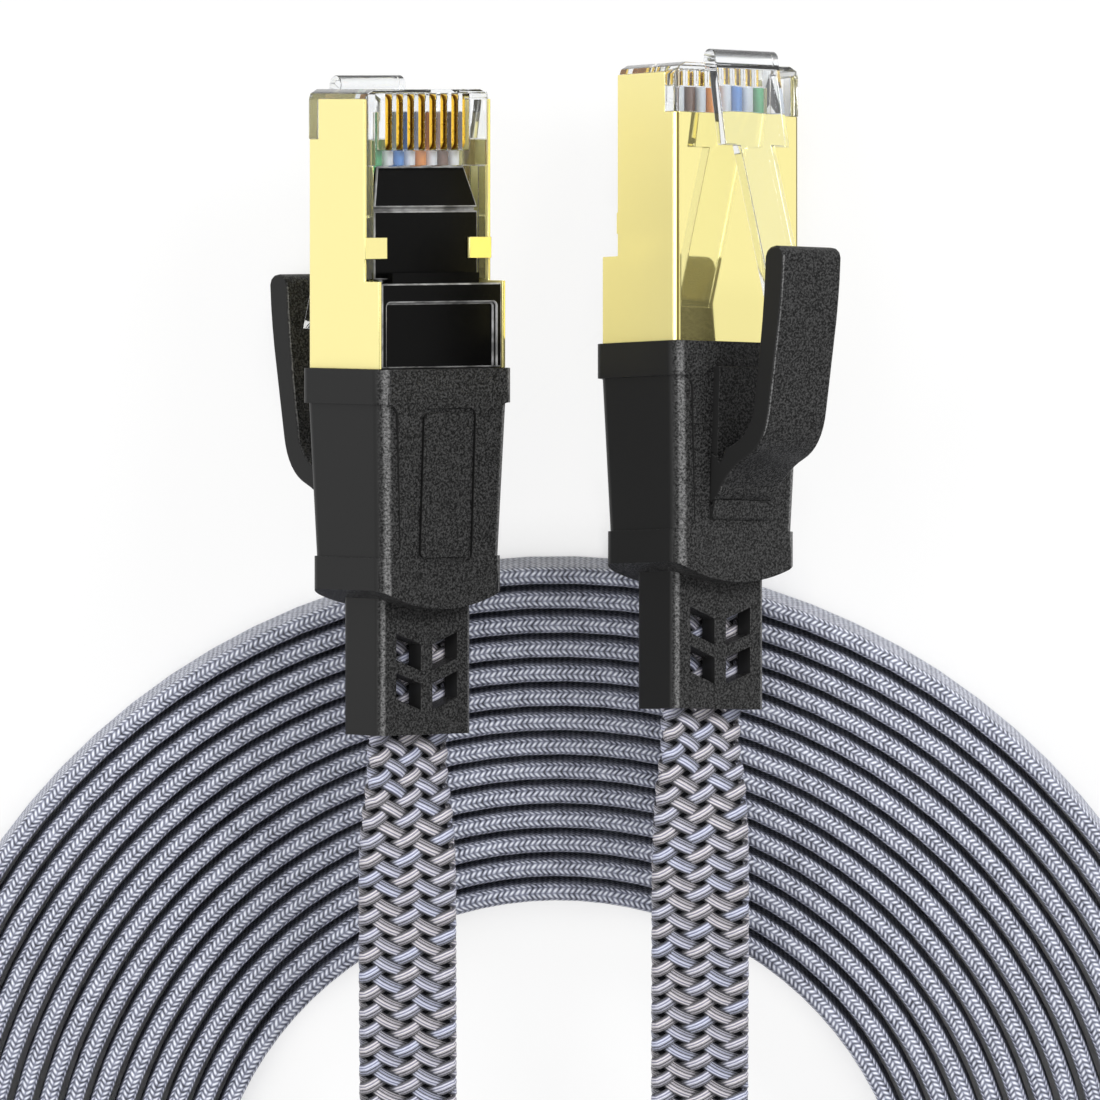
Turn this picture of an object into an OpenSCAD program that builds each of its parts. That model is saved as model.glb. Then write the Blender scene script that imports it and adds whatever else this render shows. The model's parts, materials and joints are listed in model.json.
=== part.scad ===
// Flat braided ethernet patch cable: two shielded eight-contact plugs, two leads and a coil.
// Millimetres. The cable lies on the plane z = 0. The origin is below the middle of the two plugs.
// The plugs point along +Y and lean on the coil, which lies behind them.

/* [Plug] */
// Width of the plug across its eight contacts
plug_w = 11.7; // [11.4:0.1:12]
// Depth of the plug from its latch face to its contact face
plug_t = 6.6; // [6.4:0.1:6.9]
// Length of the plug from its tip to the boot
plug_len = 20.1; // [19.6:0.1:21.6]
// Spacing of the eight contacts
contact_pitch = 1.02; // [1:0.01:1.06]
// Thickness of a contact blade
blade_t = 0.46; // [0.35:0.01:0.5]
// Length of a contact blade
blade_len = 4; // [3.6:0.1:4.2]
// Sheet gauge of the gold-plated shield
gauge = 0.25; // [0.2:0.05:0.35]
// Diameter of an insulated wire
wire_d = 0.86; // [0.7:0.02:0.94]
// Height of the rear cover above the contact face
cover_rise = 1.7; // [1.2:0.1:2]

/* [Latch] */
// Width of the locking tab
tab_w = 3.25; // [3:0.05:3.6]
// Width of the latch's wide root
latch_root_w = 6; // [5.4:0.1:6.4]
// Length of the latch from its hinge to its free end
latch_len = 17.4; // [16:0.1:18]
// Height of the latch's free end above the latch face
latch_rise = 5.8; // [5:0.1:6.2]
// Thickness of the latch
latch_t = 0.95; // [0.8:0.05:1.1]

/* [Boot] */
// Width of the boot's collar
boot_w = 12.5; // [12.2:0.1:13.4]
// Depth of the boot's collar
boot_t = 9.6; // [9.3:0.1:10.2]
// Length of the boot without its neck
boot_len = 17.3; // [16.8:0.1:19]
// Width of the neck
neck_w = 8.6; // [8.2:0.1:9.4]
// Depth of the neck
neck_t = 4.5; // [4.1:0.1:5.2]
// Length of the neck
neck_len = 9.1; // [8.9:0.1:12]
// Width of one neck window
window_w = 2.3; // [1.8:0.1:2.5]
// Height of one neck window
window_h = 1.9; // [1.5:0.1:2.1]

/* [Lever] */
// Width of the release lever
lever_w = 5.5; // [4.8:0.1:6]
// Thickness of the release lever
lever_t = 2; // [1.8:0.1:2.2]
// Height of the lever's tip above the latch face
lever_rise = 8.3; // [8:0.1:9]

/* [Cord] */
// Width of the flat cord
cord_w = 7; // [6.4:0.1:7.2]
// Thickness of the flat cord
cord_t = 1.25; // [1.1:0.05:1.35]
// Clear gap between two turns of the coil
turn_gap = 0.54; // [0.45:0.01:0.8]
// Full turns of the coil, besides its last part turn
turns = 13; // [9:1:16]
// Radius of the coil's inmost turn
coil_r = 25.5; // [24:0.1:28]

/* [Layout] */
// Distance between the two plugs' axes
plug_gap = 22.4; // [21.4:0.1:24]
// How far the coil's near edge lies behind the origin
coil_back = 13; // [11.5:0.1:14]

/* [Hidden] */
$fn = 48;

// Clearances
slip = 0.05;
seat_fit = 0.06;
floor_gap = 0.3;
rest_gap = 0.1;

// Plug body, in its own frame: +Y is the tip, +Z the contact face, y = 0 the tip's face
half_w = plug_w / 2;
half_t = plug_t / 2;
inner_w = plug_w - 2 * gauge - 2 * slip;
nose_side = 0.7;
nose_latch = 3.6;
wing_cut = 1.3;
corner_r = 0.5;
step_back = 13.8;
step_z = half_t + cover_rise;
recess_z = half_t - 1.1;
recess_start = 5.5;
ramp_end = 8.5;
bar_start = 8.75;
bar_end = 13.7;
cover_start = step_back + 0.15;
tab_start = 10.65;
tab_len = 1.55;
tab_reach = 2.05;

// Wires and what holds them
contacts = 8;
wire_z = 0.96;
wire_front = 1.6;
wire_end = 13;
wire_bore = wire_d + 2 * slip;
channel_w = (contacts - 1) * contact_pitch + wire_bore;
side_wall = 0.7;
bar_top = half_t - gauge / 2 - slip;
bar_gap = inner_w - 2 * side_wall;
bar_w = channel_w + 0.8;
load_front = 9.2;
load_len = 3.2;
load_h = 1.7;
pair_pitch = 1.6;
pair_d = 1.16;
blade_front = 0.35;
blade_sink = 0.35;
rib_slot = blade_t + 0.14;

// Boot and its neck, centred on the cord and not on the plug
collar_len = 2.5;
band_len = 3.7;
waist_w = boot_w - 1.4;
waist_t = boot_t - 1.2;
band_w = boot_w - 1.1;
band_t = boot_t - 1;
boot_r = 1.1;
boot_end = plug_len + boot_len;
taper_start = plug_len + collar_len;
taper_end = boot_end - band_len;
taper_len = taper_end - taper_start;
side_set = 0.5;
side_wrap = 1.6;
side_r = 0.9;
band_arc = 1.4;
neck_end = boot_end + neck_len;
bore_w = cord_w + 0.3;
bore_t = cord_t + 0.35;
cord_start = plug_len + 7.5;
ring_len = 5.2;
ring_w = 8.4;
ring_t = 3.4;
ring_wall = 0.45;
window_pitch = 2.82;
window_gap = 1.05;
window_slant = 20;
window_end = 2.2;
panel_w = 5.1;
panel_len = 11.1;
panel_start = 2.8;
groove = 0.35;
panel_dip = 0.25;

// Release lever: its hinge lies in a round seat in the boot's latch face
lever_back = 9.8;
lever_y = -(plug_len + lever_back);
lever_z = -half_t + 0.4;
knuckle_r = 1.9;
lever_tip = 13.2;
lever_out = -half_t - lever_rise;
pad_start = 1.8;
pad_rise = 0.65;
pad_back = 3;

// Latch: its hinge lies in a round seat at the tip's edge
latch_y = 0.3;
latch_z = -half_t - 0.3;
nose_r = 0.7;
latch_wide = 6;

// How the two plugs lie: turned about their own length, tip down, boot or neck on the coil
roll = 39.4;
tip_a = 22.2;
tip_b = 23.5;
coil_top = cord_w;

// Depth of a point of the plug's section below its axis, once the plug is rolled
function sunk(u, v, turn) = u * sin(turn) - v * cos(turn);

// Tip-down angle at which point 1 is at height h1 and point 2, further back, at height h2
function lean(d1, s1, h1, d2, s2, h2) =
    let (a = d2 - d1, b = s1 - s2)
    asin((h2 - h1) / norm([a, b])) - atan2(b, a);

lever_sunk = sunk(lever_w / 2, lever_out, roll);
band_sunk = sunk(band_w / 2, wire_z - band_t / 2, roll);
tip_sunk = sunk(-half_w, half_t, roll + 180);
neck_sunk = sunk(-neck_w / 2, wire_z + neck_t / 2, roll + 180);
rest_z = coil_top + rest_gap;
lean_a = lean(lever_tip, lever_sunk, floor_gap, boot_end - band_arc, band_sunk, rest_z);
lean_b = lean(0, tip_sunk, 0, boot_end, neck_sunk, rest_z);
tip_a_z = floor_gap - lever_tip * sin(lean_a) + lever_sunk * cos(lean_a);
tip_b_z = tip_sunk * cos(lean_b);

// Coil: a flat cord on edge, wound outwards and clockwise as seen from above
pitch = cord_t + turn_gap;
start_angle = -110;
part_turn = 282 / 360;
all_turns = turns + part_turn;
loop_rings = 24;
dip = 2.2;
dip_turn = 0.16;
end_run = 7;
end_r = coil_r + pitch * all_turns;
coil_out = coil_r + pitch * (turns + (90 - start_angle) / -360 + 1) + cord_t / 2;
coil_y = -coil_back - coil_out;
edge_z = cord_w / 2;
flat_z = coil_top + cord_t / 2 + slip;
grow = end_r / 50.2;

module place_a() {
    translate([-plug_gap / 2, tip_a, tip_a_z])
        rotate([-lean_a, 0, 0])
            rotate([0, roll, 0])
                children();
}

module place_b() {
    translate([plug_gap / 2, tip_b, tip_b_z])
        rotate([-lean_b, 0, 0])
            rotate([0, roll + 180, 0])
                children();
}

// A flat outline with round corners
module rounded(w, h, r) {
    square([w - 2 * r, h], center = true);
    square([w, h - 2 * r], center = true);
    for (x = [-1, 1], y = [-1, 1])
        translate([x * (w / 2 - r), y * (h / 2 - r)])
            circle(r);
}

// A bar with a round-cornered section, from y = -start backwards, about height z
module bar(w, h, r, start, length, z = 0) {
    translate([0, -start, z])
        rotate([90, 0, 0])
            linear_extrude(length)
                rounded(w, h, r);
}

// A block of the plug, by its width, its run from the tip and its two heights
module block(w, start, end, low, high) {
    translate([-w / 2, -end, low])
        cube([w, end - start, high - low]);
}

// Extrudes an outline of [y, z] points across the plug's width
module across(w) {
    translate([-w / 2, 0, 0])
        rotate([90, 0, 90])
            linear_extrude(w)
                children();
}

// Eight places along the plug's width, the first at the left of the contact face
module each_wire(first = 0, last = contacts - 1) {
    for (i = [first : last])
        translate([(i - (contacts - 1) / 2) * contact_pitch, 0, 0])
            children();
}

// A round rod along the plug's length
module rod(d, start, end, z) {
    translate([0, -start, z])
        rotate([90, 0, 0])
            cylinder(d = d, h = end - start);
}

// Points of a cubic curve through its two end points
function curve(p, q, r, s, n = 8) = [
    for (i = [0 : n])
        let (t = i / n, k = 1 - t)
        k * k * k * p + 3 * k * k * t * q + 3 * k * t * t * r + t * t * t * s
];

module housing() {
    nose_corner = 0.9;
    color([0.92, 0.95, 0.96, 0.5])
        difference() {
            union() {
                intersection() {
                    bar(plug_w, plug_t, 0.35, 0, nose_latch);
                    linear_extrude(plug_t + 1, center = true)
                        polygon([
                            [-half_w, -nose_latch - 1], [-half_w, -nose_corner],
                            [-half_w + nose_corner / 3, -nose_corner / 3], [-half_w + nose_corner, 0],
                            [half_w - nose_corner, 0], [half_w - nose_corner / 3, -nose_corner / 3],
                            [half_w, -nose_corner], [half_w, -nose_latch - 1]
                        ]);
                    union() {
                        block(plug_w, 0, nose_latch, -half_t, -half_t + wing_cut);
                        block(plug_w, 0, nose_side, -half_t, half_t);
                        block(inner_w, 0, nose_latch, -half_t, half_t);
                    }
                }
                block(inner_w, nose_latch - 1, recess_start, -half_t + gauge + slip, half_t);
                block(inner_w, recess_start - 1, plug_len - slip, -half_t + gauge + slip, recess_z);
                for (side = [-1, 1])
                    translate([side * (inner_w - side_wall) / 2, 0, 0])
                        block(side_wall, recess_start - 1, bar_end, recess_z - 1, bar_top);
            }
            each_wire()
                block(rib_slot, blade_front - 0.05, blade_front + blade_len + 0.05, wire_z, half_t + 1);
            block(channel_w, wire_front, wire_end, wire_z - wire_bore / 2, wire_z + wire_bore / 2);
            block(bar_w, load_front - slip, plug_len, wire_z - load_h / 2 - slip, recess_z + 1);
            translate([0, latch_y, latch_z])
                across(latch_root_w + 2 * seat_fit)
                    circle(nose_r + seat_fit);
        }
}

module contact_blades() {
    low = wire_z + wire_d / 2;
    high = half_t - blade_sink;
    front = -blade_front;
    back = -blade_front - blade_len;
    bend = 0.5;
    color([0.95, 0.75, 0.3])
        each_wire()
            across(blade_t)
                polygon([
                    [front, low], [front, high - bend], [front - bend / 3, high - bend / 3],
                    [front - bend, high], [back + bend, high], [back + bend / 3, high - bend / 3],
                    [back, high - bend], [back, low]
                ]);
}

module shield() {
    tall = step_z + half_t;
    color([0.98, 0.88, 0.5]) {
        difference() {
            bar(plug_w, 2 * tall, corner_r, nose_side, plug_len - nose_side, tall - half_t);
            block(plug_w - 2 * gauge, 0, plug_len + 1, -half_t + gauge, 2 * tall);
            block(plug_w + 1, 0, step_back, half_t, 2 * tall);
            block(plug_w + 1, 0, plug_len + 1, step_z, 2 * tall);
            block(plug_w + 1, 0, nose_latch, -half_t - 1, -half_t + wing_cut);
        }
        for (side = [-1, 1])
            translate([side * (half_w - tab_reach / 2), -tab_start - tab_len / 2, half_t])
                cube([tab_reach, tab_len, gauge], center = true);
    }
}

module strain_bar() {
    w = bar_gap - 2 * slip;
    narrow = 0.8;
    color([0.08, 0.08, 0.08])
        intersection() {
            across(w)
                polygon([
                    [-recess_start - slip, recess_z], [-recess_start - slip, recess_z + 0.3],
                    [-ramp_end, bar_top], [-ramp_end, bar_top - 0.35],
                    [-bar_start, bar_top - 0.35], [-bar_start, bar_top],
                    [-bar_end, bar_top], [-bar_end, recess_z]
                ]);
            linear_extrude(plug_t + 1, center = true)
                polygon([
                    [narrow - w / 2, -recess_start], [w / 2 - narrow, -recess_start],
                    [w / 2, -ramp_end], [w / 2, -bar_end - 1],
                    [-w / 2, -bar_end - 1], [-w / 2, -ramp_end]
                ]);
        }
}

module rear_cover() {
    frame_w = 0.5;
    front_lip = 1.4;
    sunken = 0.4;
    color([0.06, 0.06, 0.06])
        difference() {
            block(inner_w, cover_start, plug_len - slip, recess_z, step_z - slip);
            translate([0, -cover_start - front_lip - plug_len / 2, step_z])
                linear_extrude(2 * (sunken + slip), center = true)
                    rounded(inner_w - 2 * frame_w, plug_len, 0.3);
        }
}

module load_bar() {
    color([0.9, 0.92, 0.94, 0.6])
        difference() {
            block(bar_w - 2 * slip, load_front, load_front + load_len, wire_z - load_h / 2, wire_z + load_h / 2);
            each_wire()
                rod(wire_bore, load_front - 1, load_front + load_len + 1, wire_z);
        }
}

module wire_pair(first, tint) {
    color(tint)
        each_wire(first, first + 1)
            rod(wire_d, wire_front, wire_end, wire_z);
}

module foil_pairs() {
    color([0.8, 0.82, 0.84])
        for (i = [-1.5 : 1.5])
            translate([i * pair_pitch, 0, 0])
                rod(pair_d, wire_end, cord_start, wire_z);
}

module crimp_ring() {
    color([0.75, 0.75, 0.76])
        difference() {
            bar(ring_w, ring_t, 1.2, plug_len, ring_len, wire_z);
            bar(ring_w - 2 * ring_wall, ring_t - 2 * ring_wall, 0.8, plug_len - 1, ring_len + 2, wire_z);
        }
}

// One neck window, leaning up towards the middle on either side
module window(side) {
    rise = window_w * tan(window_slant);
    near = side * window_gap / 2;
    far = side * (window_gap / 2 + window_w);
    linear_extrude(neck_t + 2, center = true)
        polygon([
            [near, -window_h / 2 - rise / 2], [far, -window_h / 2 + rise / 2],
            [far, window_h / 2 + rise / 2], [near, window_h / 2 - rise / 2]
        ]);
}

// Half thickness of the boot at a distance behind the tip, where its wide faces taper
function boot_half(back) = (boot_t + (band_t - boot_t) * (back - taper_start) / taper_len) / 2;

// Points of an arc about a centre
function arc_points(x, y, r, from, to, n = 8) =
    [for (i = [0 : n]) let (a = from + (to - from) * i / n) [x + r * cos(a), y + r * sin(a)]];

// Outline of a wide face between the set-back sides, which round off into collar and band
module face_outline() {
    front_x = boot_w / 2 - side_wrap;
    back_x = band_w / 2 - side_wrap;
    right = concat(
        [[front_x + side_r, -taper_start + 1]],
        arc_points(front_x + side_r, -taper_start - side_r, side_r, 90, 180),
        arc_points(back_x + side_r, -taper_end + side_r, side_r, 180, 270),
        [[back_x + side_r, -taper_end - 1]]
    );
    last = len(right) - 1;
    polygon(concat(right, [for (i = [last : -1 : 0]) [-right[i].x, right[i].y]]));
}

module boot_shape() {
    bar(boot_w, boot_t, boot_r, plug_len, collar_len, wire_z);
    hull() {
        bar(boot_w - side_set, boot_t - side_set, boot_r, taper_start, 0.01, wire_z, $fn = 32);
        bar(waist_w, waist_t, boot_r, taper_end, 0.01, wire_z, $fn = 32);
    }
    intersection() {
        hull() {
            bar(boot_w - slip, boot_t - slip, boot_r, taper_start, 0.01, wire_z, $fn = 32);
            bar(band_w - slip, band_t - slip, boot_r, taper_end, 0.01, wire_z, $fn = 32);
        }
        linear_extrude(3 * boot_t, center = true)
            face_outline();
    }
    intersection() {
        bar(band_w, band_t, boot_r, taper_end - slip, band_len + slip, wire_z);
        linear_extrude(3 * boot_t, center = true)
            union() {
                translate([-boot_w, -boot_end + band_arc])
                    square([2 * boot_w, 2 * band_len]);
                intersection() {
                    translate([0, -boot_end + arc_radius()])
                        circle(arc_radius(), $fn = 96);
                    translate([-boot_w, -boot_end - 1])
                        square([2 * boot_w, band_arc + 1.1]);
                }
            }
    }
    bar(neck_w, neck_t, 0.7, boot_end - band_arc, neck_len + band_arc, wire_z);
}

function arc_radius() = (band_w * band_w / 4 + band_arc * band_arc) / (2 * band_arc);

// Raised pad on the latch face, from which the lever rises
module lever_pad() {
    front = plug_len + pad_start;
    back = -lever_y + pad_back;
    front_z = wire_z - boot_t / 2 - pad_rise;
    mid_z = wire_z - boot_half(back - 2) - pad_rise;
    back_z = wire_z - boot_half(back);
    across(lever_w)
        polygon([
            [-front, 1 - half_t], [-front, front_z + 0.15], [-front - 0.15, front_z],
            [-back + 2, mid_z], [-back + 0.1, back_z - 0.3], [-back, back_z - 0.2],
            [-back, 1 - half_t]
        ]);
}

module boot() {
    seat_w = lever_w + 2 * seat_fit;
    panel_mid = plug_len + panel_start + panel_len / 2;
    color([0.13, 0.13, 0.13])
        difference() {
            union() {
                boot_shape();
                lever_pad();
            }
            block(ring_w + 0.6, plug_len - 1, plug_len + ring_len + 0.3,
                  wire_z - ring_t / 2 - 0.3, wire_z + ring_t / 2 + 0.3);
            block(bore_w, plug_len, neck_end + 1, wire_z - bore_t / 2, wire_z + bore_t / 2);
            translate([0, lever_y, lever_z])
                across(seat_w)
                    circle(knuckle_r + seat_fit);
            for (row = [0, 1], side = [-1, 1])
                translate([0, -neck_end + window_end + window_h / 2 + row * window_pitch, wire_z])
                    window(side);
            translate([0, -panel_mid, wire_z + boot_half(panel_mid) - panel_dip])
                rotate([atan((boot_t - band_t) / 2 / taper_len), 0, 0])
                    linear_extrude(3)
                        difference() {
                            rounded(panel_w, panel_len, 0.6);
                            rounded(panel_w - 2 * groove, panel_len - 2 * groove, 0.4);
                        }
        }
}

module lever() {
    out = lever_out;
    into = lever_out + lever_t;
    root = lever_y;
    tip = -lever_tip - 1;
    color([0.11, 0.11, 0.11])
        across(lever_w)
            union() {
                translate([root, lever_z])
                    circle(knuckle_r);
                polygon(concat(
                    [[root, lever_z]],
                    curve([root - 1.3, lever_z - 1.38], [root - 0.5, lever_z - 1.8],
                          [root + 0.7, lever_z - 3], [root + 1.3, out + 4.1]),
                    curve([root + 1.3, out + 4.1], [root + 1.8, out + 2.8],
                          [root + 2.9, out + 1.9], [root + 4.8, out + 1.6]),
                    curve([root + 4.8, out + 1.6], [root + 7.4, out + 1.2],
                          [tip - 4, out + 0.15], [tip, out]),
                    curve([tip, out], [tip + 1, out], [tip + 1, into], [tip, into + 0.1], 6),
                    curve([tip, into + 0.1], [tip - 4, into + 0.25],
                          [root + 7.5, into + 0.95], [root + 4.6, into + 1.45]),
                    curve([root + 4.6, into + 1.45], [root + 3.2, into + 1.9],
                          [root + 2.3, into + 3.2], [root + 2.15, lever_z - 2.2]),
                    [[root + 1.45, lever_z - 1.85], [root + 1.05, lever_z - 1.55]]
                ));
            }
}

module latch() {
    top_z = -half_t - latch_rise;
    low_z = top_z + latch_t;
    wide_out = latch_z - nose_r - 1.2;
    tab = [
        [latch_y, latch_z - nose_r], [-latch_wide, wide_out], [-latch_len, top_z],
        [-latch_len, low_z], [-latch_wide, wide_out + latch_t],
        [-1, latch_z - slip], [latch_y, latch_z]
    ];
    wide = [
        [latch_y, latch_z - nose_r], [-latch_wide, wide_out],
        [-latch_wide, wide_out + latch_t], [-1, latch_z - slip], [latch_y, latch_z]
    ];
    color([0.92, 0.95, 0.96, 0.5]) {
        across(latch_root_w) {
            translate([latch_y, latch_z])
                circle(nose_r);
            polygon(wide);
        }
        across(tab_w)
            polygon(tab);
    }
}

// Sweeps a flat section along a route of [x, y, z, turn about the route]
function side_of(way) = let (flat = norm([way.x, way.y])) [-way.y, way.x, 0] / flat;

function way_at(route, i) =
    let (
        last = len(route) - 1,
        a = route[max(i - 1, 0)],
        b = route[min(i + 1, last)],
        v = [b.x - a.x, b.y - a.y, b.z - a.z]
    )
    v / norm(v);

function ring_at(route, section, i) =
    let (
        p = route[i],
        way = way_at(route, i),
        side = side_of(way),
        up = cross(way, side),
        wide = side * cos(p[3]) + up * sin(p[3]),
        thick = cross(way, wide)
    )
    [for (s = section) [p.x, p.y, p.z] + wide * s.x + thick * s.y];

module sweep(route, section) {
    n = len(section);
    last = len(route) - 1;
    points = [for (i = [0 : last]) each ring_at(route, section, i)];
    walls = [
        for (i = [0 : last - 1], k = [0 : n - 1])
            let (a = i * n + k, b = i * n + (k + 1) % n, c = a + n, d = b + n)
            each [[a, b, d], [a, d, c]]
    ];
    caps = [
        for (k = [1 : n - 2])
            each [[0, k + 1, k], [last * n, last * n + k, last * n + k + 1]]
    ];
    polyhedron(points, concat(walls, caps));
}

// The lead's section has eight sides and the coil's has six, both flat where they rest
lead_section = [
    [cord_w / 2, -cord_t * 0.26], [cord_w / 2, cord_t * 0.26],
    [cord_w / 2 - 0.4, cord_t / 2], [0.4 - cord_w / 2, cord_t / 2],
    [-cord_w / 2, cord_t * 0.26], [-cord_w / 2, -cord_t * 0.26],
    [0.4 - cord_w / 2, -cord_t / 2], [cord_w / 2 - 0.4, -cord_t / 2]
];
coil_section = [
    [cord_w / 2, -cord_t * 0.4], [cord_w / 2, cord_t * 0.4], [0, cord_t / 2],
    [-cord_w / 2, cord_t * 0.4], [-cord_w / 2, -cord_t * 0.4], [0, -cord_t / 2]
];

function coil_radius(t) =
    coil_r + pitch * t - (t < dip_turn ? dip * pow(1 - t / dip_turn, 2) : 0);

function coil_point(t) =
    let (angle = start_angle - 360 * t)
    [coil_radius(t) * cos(angle), coil_y + coil_radius(t) * sin(angle), edge_z, 90];

function coil_way(t) =
    let (v = coil_point(t + 0.001) - coil_point(t - 0.001))
    v / norm(v);

coil_steps = ceil(all_turns * loop_rings);
function before_coil(d) = coil_point(0) - d * coil_way(0.002);
function after_coil(d) = coil_point(all_turns) + d * coil_way(all_turns);
coil_route = concat(
    [before_coil(end_run)],
    [for (i = [0 : coil_steps]) coil_point(all_turns * i / coil_steps)],
    [after_coil(end_run)]
);

// Clear gap between each point of a turn and the turn outside it
function turn_clear(t) =
    let (
        p = coil_point(t),
        step = all_turns / coil_steps,
        near = round((t + 1) / step) * step,
        a = coil_point(near - step),
        b = coil_point(near),
        c = coil_point(near + step)
    )
    min(gap_to(p, a, b), gap_to(p, b, c)) - cord_t;

function gap_to(p, a, b) =
    let (
        ab = [b.x - a.x, b.y - a.y],
        ap = [p.x - a.x, p.y - a.y],
        k = max(0, min(1, (ab * ap) / (ab * ab)))
    )
    norm(ap - k * ab);

least_gap = min([
    for (i = [0 : coil_steps - loop_rings - 2]) turn_clear(all_turns * i / coil_steps)
]);
echo(least_gap_between_turns = least_gap);

// Where the cord leaves each plug
function leave(x, tip, tip_z, angle, turn, back) =
    let (
        y1 = -back * cos(angle),
        z1 = back * sin(angle),
        u = wire_z * sin(turn),
        v = wire_z * cos(turn)
    )
    [x + u, tip + y1 + v * sin(angle), tip_z + z1 + v * cos(angle), -roll];

function leave_a(back) = leave(-plug_gap / 2, tip_a, tip_a_z, lean_a, roll, back);
function leave_b(back) = leave(plug_gap / 2, tip_b, tip_b_z, lean_b, roll + 180, back);

// Height of a route point: 0 on edge on the floor, 1 flat on the coil, 2 at the neck
function route_z(h, neck_z) =
    h <= 1 ? edge_z + (flat_z - edge_z) * h : flat_z + (neck_z - flat_z) * (h - 1);

// Turn of a route point: 1 on edge, 0 flat, -1 as the plug is rolled
function route_turn(k) = k < 0 ? roll * k : 90 * k;

function laid(points, neck_z) = [
    for (p = points)
        [p[0] * grow, p[1] * grow + coil_y, route_z(p[2], neck_z), route_turn(p[3])]
];

// Route points from the coil's centre: x, y, height and turn as above
points_a = [
    [-10.6, 33, 2.06, -0.62], [-10.6, 29.5, 2.02, -0.22], [-10.6, 26, 1.95, 0],
    [-10.6, 21, 1.81, 0], [-10.6, 15, 1.6, 0], [-10.6, 8, 1.36, 0], [-10.6, 1, 1.17, 0],
    [-10.6, -6, 1.075, 0], [-10.6, -14, 1.03, 0], [-10.6, -22, 1.02, 0],
    [-10.6, -30, 1.02, 0], [-10.6, -38, 1.02, 0], [-10.6, -46, 1.02, 0],
    [-10.6, -51, 1.02, 0], [-10.6, -54, 0.96, 0.12], [-10.6, -57, 0.82, 0.28],
    [-10.6, -60, 0.62, 0.46], [-10.6, -63, 0.4, 0.64], [-10.6, -66, 0.19, 0.82],
    [-10.6, -69, 0.05, 0.95], [-10.4, -72.6, 0, 1], [-8.9, -76.6, 0, 1],
    [-6.1, -79.8, 0, 1], [-2.4, -81.8, 0, 1], [1.8, -82.4, 0, 1], [5.8, -81.5, 0, 1],
    [9.2, -79.4, 0, 1], [12.3, -75.6, 0, 1], [17.6, -67.1, 0, 1], [22.9, -58.6, 0, 1],
    [27, -52, 0, 1]
];
points_b = [
    [10.6, 35, 2.14, -0.65], [10.6, 31, 2.1, -0.25], [10.6, 27, 1.98, 0],
    [10.6, 22, 1.77, 0], [10.6, 17, 1.52, 0], [10.6, 13, 1.32, 0], [10.6, 9, 1.13, 0.06],
    [10.6, 5, 0.95, 0.2], [10.6, 1, 0.71, 0.4], [10.6, -3, 0.44, 0.62],
    [10.6, -7, 0.2, 0.84], [10.6, -10.6, 0.03, 0.98], [10.3, -14, 0, 1],
    [9.3, -17.1, 0, 1], [7.4, -20, 0, 1], [4.9, -22, 0, 1]
];

neck_z_a = leave_a(neck_end).z;
neck_z_b = leave_b(neck_end).z;
route_a = concat(
    [for (d = [cord_start, neck_end, neck_end + 3]) leave_a(d)],
    laid(points_a, neck_z_a),
    [after_coil(2 * end_run), after_coil(end_run)]
);
route_b = concat(
    [for (d = [cord_start, neck_end, neck_end + 3]) leave_b(d)],
    laid(points_b, neck_z_b),
    [before_coil(end_run + 3), before_coil(end_run)]
);

module lead(route) {
    color([0.6, 0.61, 0.67])
        sweep(route, lead_section);
}

module coil() {
    color([0.6, 0.61, 0.67])
        sweep(coil_route, coil_section);
}

green = [0.2, 0.65, 0.35];
blue = [0.25, 0.5, 0.85];
orange = [0.92, 0.5, 0.12];
brown = [0.45, 0.3, 0.2];

place_a() housing();  // a_housing
place_a() contact_blades();  // a_contacts
place_a() shield();  // a_shield
place_a() strain_bar();  // a_strain_bar
place_a() rear_cover();  // a_rear_cover
place_a() load_bar();  // a_load_bar
place_a() wire_pair(0, green);  // a_green_pair
place_a() wire_pair(2, blue);  // a_blue_pair
place_a() wire_pair(4, orange);  // a_orange_pair
place_a() wire_pair(6, brown);  // a_brown_pair
place_a() foil_pairs();  // a_foil_pairs
place_a() crimp_ring();  // a_crimp_ring
place_a() boot();  // a_boot
place_a() lever();  // a_lever
place_a() latch();  // a_latch
place_b() housing();  // b_housing
place_b() contact_blades();  // b_contacts
place_b() shield();  // b_shield
place_b() strain_bar();  // b_strain_bar
place_b() rear_cover();  // b_rear_cover
place_b() load_bar();  // b_load_bar
place_b() wire_pair(0, green);  // b_green_pair
place_b() wire_pair(2, blue);  // b_blue_pair
place_b() wire_pair(4, orange);  // b_orange_pair
place_b() wire_pair(6, brown);  // b_brown_pair
place_b() foil_pairs();  // b_foil_pairs
place_b() crimp_ring();  // b_crimp_ring
place_b() boot();  // b_boot
place_b() lever();  // b_lever
place_b() latch();  // b_latch
lead(route_a);  // lead_a
coil();
lead(route_b);  // lead_b
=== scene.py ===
"""Finish of a flat braided ethernet patch cable: its cord, braid, plugs, boots and stage."""

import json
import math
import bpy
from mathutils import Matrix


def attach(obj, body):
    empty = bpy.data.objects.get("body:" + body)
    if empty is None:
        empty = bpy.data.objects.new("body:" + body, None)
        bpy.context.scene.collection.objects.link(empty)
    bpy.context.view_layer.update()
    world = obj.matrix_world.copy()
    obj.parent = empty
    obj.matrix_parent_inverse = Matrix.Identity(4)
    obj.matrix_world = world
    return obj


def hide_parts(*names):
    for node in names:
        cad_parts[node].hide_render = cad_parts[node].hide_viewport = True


bl_info = {
    "name": "Flat Braided Patch Cable",
    "version": (1, 0, 0),
    "blender": (4, 5, 0),
    "location": "View3D > Sidebar > Patch Cable",
    "description": "Dresses a shielded patch cable: braid, gold, clear and black mouldings",
    "category": "Object",
}

import bmesh
import bpy
from bpy.props import FloatProperty, FloatVectorProperty, IntProperty, PointerProperty
from mathutils import Vector

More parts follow.
